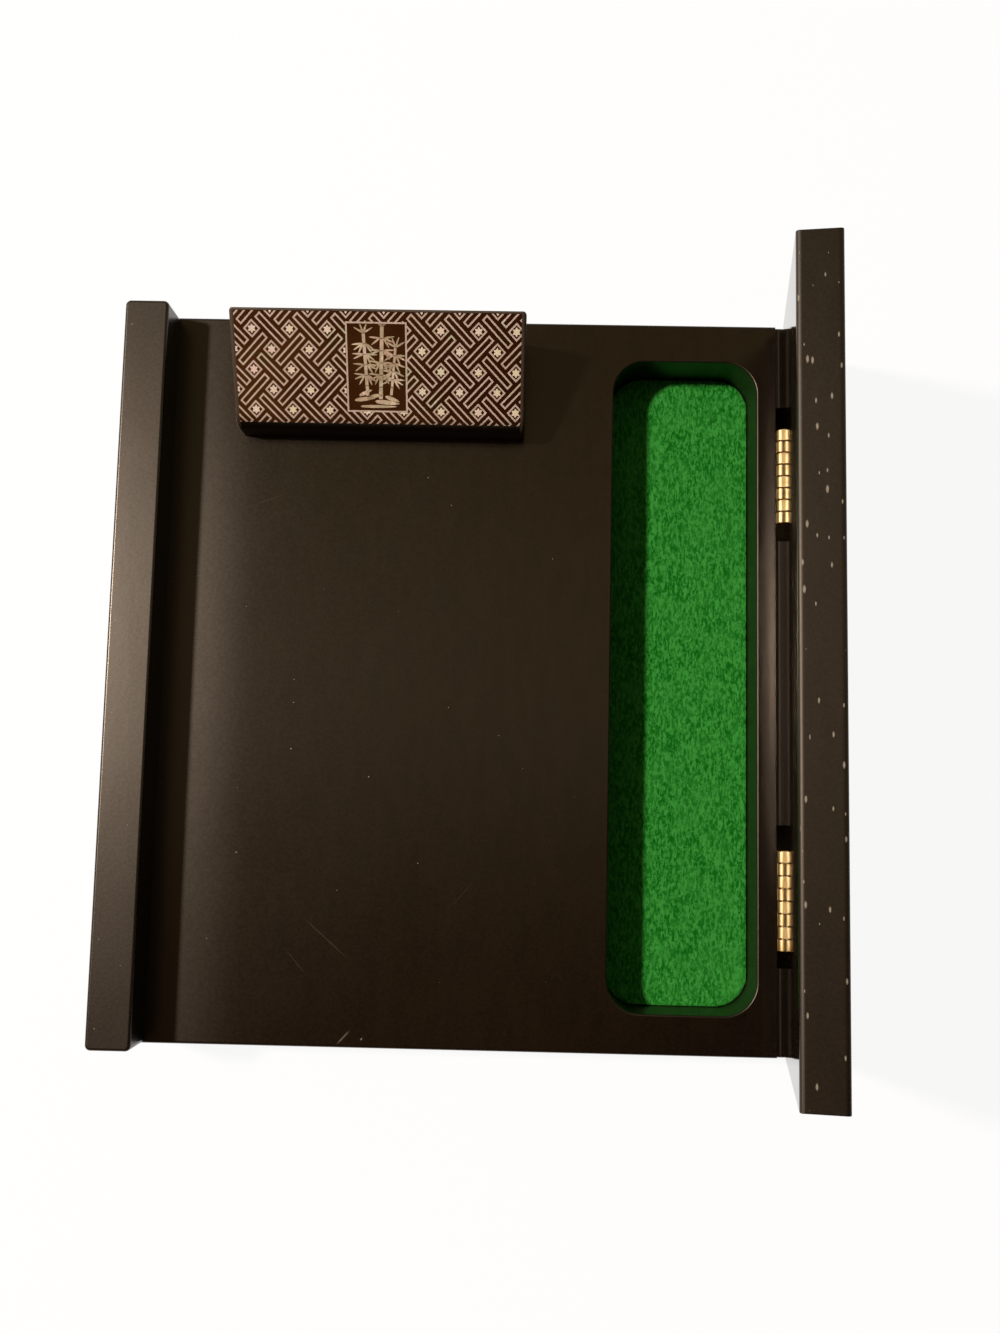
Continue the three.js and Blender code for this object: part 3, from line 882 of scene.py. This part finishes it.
def makeLattice():
    bar = hollowOut(addPlane("bar", lattice["barLength"], lattice["barWidth"]), lattice["line"])
    lozenge = hollowOut(addDisc("lozenge", 4, lattice["lozenge"]), lattice["line"])
    star = flatStar()
    lines = []
    stars = []
    for row in lattice["rows"]:
        for column in lattice["columns"]:
            place = (column, -row, 0)
            if (row + column) % 2 == 0:
                lines.append(copyTo(lozenge, place))
                stars.append(copyTo(star, place))
            else:
                lean = -math.pi / 4 if row % 2 == 0 else math.pi / 4
                lines.append(copyTo(bar, place, lean))
    for pattern in (bar, lozenge, star):
        discard(pattern)
    layPattern(lines, "shell_lattice", lineShell)
    layPattern(stars, "shell_flowers", starShell)


def makePanelFrame():
    width = panel["right"] - panel["left"]
    length = panel["front"] - panel["back"]
    centre = (panel["left"] + width / 2, -panel["back"] - length / 2, 0)
    outline = hollowOut(addPlane("shell_panel_frame", width, length, centre), panel["line"])
    layShell(outline, lineShell)


# bamboo in the centre panel: jointed canes, fans of leaves and low banks, in mm and degrees
# a cane has its foot, ground, height, lean and width, and a bank its place, length, width and turn
bamboo = {"canes": [(4.6, 19.2, 15.6, -3, 0.80), (7.9, 20.0, 18.2, 2, 0.95), (10.6, 19.0, 12.0, 6, 0.65)],
          "banks": [(1.2, -20.4, 5.6, 0.8, 8), (6.4, -20.6, 6.4, 0.9, -5), (2.6, -21.9, 9.4, 0.6, 0),
                    (2.4, -19.2, 3.6, 0.7, 24), (9.0, -19.3, 3.9, 0.8, -20), (5.2, -19.4, 3.4, 0.7, 8)],
          "bankFullness": 1.6, "joints": 6, "jointGap": 0.16, "firstLeaves": 2, "leafLength": 2.8,
          "leafWidth": 0.60, "leafTaper": 0.45, "leafSides": ((-1, 210), (1, -30)), "leafTurn": 32,
          "leafSpread": 9, "tipTurns": (30, 70, 110, 150), "inset": (0.7 * mm, 0.9 * mm), "gap": 0.15 * mm}


def flatLeaf():
    # a slim pointed blade from the origin along X
    leaf = addDisc("leaf", 12, 0.5)
    for vertex in leaf.data.vertices:
        along = vertex.co.x + 0.5
        vertex.co.y *= 1.0 - bamboo["leafTaper"] * along
        vertex.co.x = along
    leaf.scale = (bamboo["leafLength"], bamboo["leafWidth"], 1)
    return applyPlace(leaf)


def makeBamboo():
    rng = random.Random(4)
    leaf = flatLeaf()
    drawn = []
    for foot, ground, height, lean, width in bamboo["canes"]:
        lean = math.radians(lean)
        run = height / bamboo["joints"]
        length = run - bamboo["jointGap"]
        section = addPlane("section", width, length, (0, length / 2, 0))
        for i in range(bamboo["joints"]):
            x = foot + math.sin(lean) * run * i
            y = -ground + math.cos(lean) * run * i
            drawn.append(copyTo(section, (x, y, 0), -lean))
            for side, base in bamboo["leafSides"] if i >= bamboo["firstLeaves"] else ():
                # the fuller fan changes sides from joint to joint
                fuller = (i + int(foot) + side) % 4 < 2
                for k in range(3 if fuller else 2):
                    spread = rng.uniform(-bamboo["leafSpread"], bamboo["leafSpread"])
                    turn = math.radians(base + (k - 1) * bamboo["leafTurn"] + spread)
                    drawn.append(copyTo(leaf, (x + side * width * 0.5, y, 0), turn))
        discard(section)
        tip = (foot + math.sin(lean) * height, -ground + math.cos(lean) * height, 0)
        for turn in bamboo["tipTurns"]:
            drawn.append(copyTo(leaf, tip, math.radians(turn)))
    for x, y, length, width, turn in bamboo["banks"]:
        bank = copyTo(leaf, (x, y, 0), math.radians(turn))
        fullness = width / bamboo["leafWidth"] * bamboo["bankFullness"]
        bank.scale = (length / bamboo["leafLength"], fullness, 1)
        drawn.append(bank)
    discard(leaf)
    motif = joinAll(drawn, "shell_bamboo")
    motif.scale = (mm, mm, 1)
    right, forward = bamboo["inset"]
    motif.location = (panel["left"] + right, -panel["back"] + forward, 0)
    applyPlace(motif)
    edge = panel["line"] + bamboo["gap"]
    cropFlat(motif, panel["left"] + edge, panel["right"] - edge,
             panel["back"] + edge, panel["front"] - edge)
    layShell(motif, bambooShell)


makeSheet()
makeLattice()
makePanelFrame()
makeBamboo()
print("inlay made")


# hinges: rolled knuckles on two leaves, a pin and slotted screws
hinge = {"sides": 40, "boreSides": 24, "pinSides": 24, "knuckleEdge": (0.18 * mm, 3),
         "pinEdge": (0.2 * mm, 3), "leafEdge": (0.1 * mm, 2), "leafCorner": (0.9 * mm, 5), "knuckles": 8,
         "knuckleGap": 0.25 * mm, "barrelRadius": 1.3 * mm, "boreRadius": 0.65 * mm,
         "pinRadius": 0.5 * mm, "leafThickness": 0.6 * mm, "plateGap": 0.3 * mm}
screw = {"head": 1.4 * mm, "shank": 0.8 * mm, "headHeight": 0.6 * mm, "length": 4.2 * mm, "tip": 0.8 * mm,
         "point": 0.1 * mm, "slot": 0.36 * mm, "slotDepth": 0.35 * mm, "slotLength": 4 * mm, "sides": 28,
         "arris": (0.05 * mm, 1), "holeGap": 0.12 * mm, "sunk": 0.03 * mm}


def roundEnds(rod, first, last, rounding):
    ends = (bothAt(1, first), bothAt(1, last))
    roundEdges(rod, lambda a, b: any(end(a, b) for end in ends), *rounding)


def addKnuckle(length, centre):
    knuckle = addRod("knuckle", hinge["barrelRadius"], length, centre, hinge["sides"])
    roundEnds(knuckle, centre.y - length / 2, centre.y + length / 2, hinge["knuckleEdge"])
    bore = addRod("bore", hinge["boreRadius"], length + mm, centre, hinge["boreSides"])
    combine(knuckle, bore, "DIFFERENCE")
    return knuckle


def addCutter(spot):
    # the cone that a screw's head sinks into
    startClean()
    gap = screw["holeGap"]
    depth = screw["headHeight"] + gap
    bpy.ops.mesh.primitive_cone_add(vertices=screw["sides"], radius1=screw["shank"] + gap,
                                    radius2=screw["head"] + gap, depth=depth,
                                    location=spot - Vector(((depth - gap) / 2, 0, 0)),
                                    rotation=(0, math.pi / 2, 0))
    return applyPlace(nameIt("countersink"))


def makeLeaf(name, low, high, side, pin):
    # drawn with the cover shut; side is 1 on the cover and -1 on the base, which has the first knuckle
    pinLow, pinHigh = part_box(pin)
    run = pinHigh.y - pinLow.y
    length = (run - (hinge["knuckles"] - 1) * hinge["knuckleGap"]) / hinge["knuckles"]
    face = low.x + hinge["leafThickness"]
    clear = hinge["barrelRadius"] + hinge["plateGap"]
    plateLow = Vector(low)
    plateHigh = Vector((face, high.y, high.z))
    if side > 0:
        plateLow.z = hingeAxis.z + clear
    else:
        plateHigh.z = hingeAxis.z - clear
    leaf = addSlab(name, plateLow, plateHigh)
    outer = high.z if side > 0 else low.z
    roundEdges(leaf, lambda a, b: near(a.y, b.y) and atHeight(a, b, outer), *hinge["leafCorner"])
    roundEdges(leaf, bothAt(0, face), *hinge["leafEdge"])
    bottom, top = sorted((hingeAxis.z, hingeAxis.z + side * (clear + hinge["leafThickness"])))
    for i in range(0 if side < 0 else 1, hinge["knuckles"], 2):
        y = pinLow.y + length / 2 + i * (length + hinge["knuckleGap"])
        tongueHigh = Vector((face, y + length / 2, top))
        tongue = addSlab("tongue", Vector((low.x, y - length / 2, bottom)), tongueHigh)
        combine(leaf, tongue, "UNION")
        combine(leaf, addKnuckle(length, Vector((hingeAxis.x, y, hingeAxis.z))), "UNION")
    return leaf


def makeScrew(name, spot, turn):
    # drawn pointing down, then laid along X with the head's face at the spot
    piece = addDisc(name, screw["sides"], screw["head"])
    editAll(piece)
    profile = ((screw["headHeight"], screw["shank"]), (screw["length"] - screw["tip"], screw["shank"]),
               (screw["length"], screw["point"]))
    depth, radius = 0.0, screw["head"]
    for nextDepth, nextRadius in profile:
        bpy.ops.mesh.extrude_region_move(TRANSFORM_OT_translate={"value": (0, 0, depth - nextDepth)})
        share = nextRadius / radius
        bpy.ops.transform.resize(value=(share, share, 1), center_override=(0, 0, -nextDepth))
        depth, radius = nextDepth, nextRadius
    bpy.ops.mesh.select_all(action="SELECT")
    bpy.ops.mesh.normals_make_consistent(inside=False)
    bpy.ops.object.mode_set(mode="OBJECT")
    corner = Vector((screw["slotLength"], screw["slot"], 0)) / 2
    groove = addSlab("groove", -corner - Vector((0, 0, screw["slotDepth"])), corner + Vector((0, 0, mm)))
    combine(piece, groove, "DIFFERENCE")
    roundEdges(piece, bothAt(2, 0), *screw["arris"])
    lying = Matrix.Rotation(turn, 3, "X") @ Matrix.Rotation(math.pi / 2, 3, "Y")
    piece.rotation_euler = lying.to_euler()
    piece.location = spot
    applyPlace(piece)
    smooth(piece)
    return piece


def makeHinge(number):
    rng = random.Random(number)
    stem = f"hinge_{number}"
    pinNode = stem + "_pin"
    for side, body in ((-1, "base"), (1, "cover")):
        findBox = closedBox if side > 0 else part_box
        node = f"{stem}_{body}_leaf"
        leaf = makeLeaf("brass_" + node, *findBox(node), side, pinNode)
        screws = []
        for screwNode in sorted(n for n in frame["nodes"] if n.startswith(f"{stem}_{body}_screw_")):
            low, high = findBox(screwNode)
            spot = Vector((high.x, (low.y + high.y) / 2, (low.z + high.z) / 2))
            combine(leaf, addCutter(spot), "DIFFERENCE")
            spot.x -= screw["sunk"]
            screws.append((screwNode, makeScrew("brass_" + screwNode, spot, rng.uniform(0, 3))))
        smooth(leaf, 40)
        for madeNode, piece in [(node, leaf), *screws]:
            if side > 0:
                turnOpen(piece)
            dress(piece, brass, body, "brass", madeNode)
    low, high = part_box(pinNode)
    middle = (low + high) / 2
    pin = addRod("brass_" + pinNode, hinge["pinRadius"], high.y - low.y, middle, hinge["pinSides"])
    roundEnds(pin, low.y, high.y, hinge["pinEdge"])
    smooth(pin, 40)
    dress(pin, brass, "base", "brass", pinNode)


makeHinge(1)
makeHinge(2)
print("hinges made")

# pieces that stay as the frame has them get their finish
for node, piece in frame["nodes"].items():
    if not piece.hide_render:
        piece.data.materials.clear()
        piece.data.materials.append(beech if "dowel" in node else steel)


# room: a pale floor, a small warm key from the upper left and a dim soft surround
room = {"floorSize": 4.0, "floorColor": (0.80, 0.80, 0.79), "floorRoughness": 0.9, "floorGlow": 0.92,
        "mirrorGlow": 0.86, "keyPlace": (-1.26, 0.30, 1.67), "keySize": 0.17, "keyPower": 58.0,
        "keyColor": (1.0, 0.90, 0.79), "horizon": (0.34, 0.31, 0.26), "horizonTop": 0.45,
        "overhead": (0.27, 0.21, 0.09), "overheadFrom": 0.85, "skylight": (0.47, 0.37, 0.22),
        "skylightMiddle": 0.08, "skylightSides": (0.27, 0.03), "skylightHeight": (0.6, 0.9),
        "front": (0.13, 0.065, 0.03), "frontFade": (0.05, -0.12), "frontRight": (0.02, 0.014, 0.009),
        "rightFade": (0.02, 0.2)}


def makeFloor():
    floor = addPlane("floor", room["floorSize"], room["floorSize"])
    f = Finish("paleFloor")
    f.finish(Base_Color=room["floorColor"], Roughness=room["floorRoughness"])
    # it looks lit to the camera and in mirrors
    seen = f.node("ShaderNodeLightPath", output=0)
    mirrored = f.node("ShaderNodeLightPath", output=3)
    glow = f.node("ShaderNodeEmission", None, {0: (1, 1, 1), 1: 1.0})
    share = (seen * room["floorGlow"]).maths("MAXIMUM", mirrored * room["mirrorGlow"])
    both = f.node("ShaderNodeMixShader", None, {0: share, 1: Wire(f, f.shader.outputs[0]), 2: glow})
    f.feed(f.tree.nodes["Material Output"].inputs[0], both)
    floor.data.materials.append(f.material)


def makeWorld():
    world = bpy.data.worlds.new("softRoom")
    bpy.context.scene.world = world
    world.use_nodes = True
    sky = Nodes(world.node_tree)
    direction = sky.node("ShaderNodeTexCoord", output=0)
    x, y, z = (sky.node("ShaderNodeSeparateXYZ", None, {0: direction}, axis) for axis in range(3))
    surround = sky.ramp(z, [(0.0, room["horizon"]), (room["horizonTop"], room["horizon"]),
                            (room["overheadFrom"], room["overhead"])])
    band = sky.curve(abs(y - room["skylightMiddle"]), *room["skylightSides"])
    band = band * sky.curve(z, *room["skylightHeight"])
    surround = sky.mix(band, surround, room["skylight"])
    front = sky.curve(y, *room["frontFade"])
    surround = sky.mix(front, surround, room["front"])
    surround = sky.mix(front * sky.curve(x, *room["rightFade"]), surround, room["frontRight"])
    seen = sky.node("ShaderNodeLightPath", output=0)
    sky.feed(sky.tree.nodes["Background"].inputs[0], sky.mix(seen, surround, (1, 1, 1)))


def makeKey():
    startClean()
    bpy.ops.object.light_add(type="AREA", location=room["keyPlace"])
    key = bpy.context.object
    key.name = "keyLamp"
    key.data.shape = "DISK"
    key.data.size = room["keySize"]
    key.data.energy = room["keyPower"]
    key.data.color = room["keyColor"]
    aim = Vector((0, 0, panelTop)) - key.location
    key.rotation_euler = aim.to_track_quat("-Z", "Y").to_euler()


# camera: fitted to the box's corners in the photograph, whose long side is the sensor's width
view = {"place": (19.1 * mm, -32.8 * mm, 345.8 * mm), "turn": (0.10848, 0.01647, 0.01985), "sensor": 36,
        "lens": 33.79, "near": 0.01, "far": 20}


def makeCamera():
    startClean()
    bpy.ops.object.camera_add(location=view["place"])
    camera = bpy.context.object
    camera.name = "photoCamera"
    camera.rotation_mode = "ZYX"
    camera.rotation_euler = view["turn"]
    camera.data.sensor_width = view["sensor"]
    camera.data.lens = view["lens"]
    camera.data.clip_start = view["near"]
    camera.data.clip_end = view["far"]
    bpy.context.scene.camera = camera


makeFloor()
makeWorld()
makeKey()
makeCamera()
bpy.context.scene.view_settings.view_transform = "Standard"
print("room made")
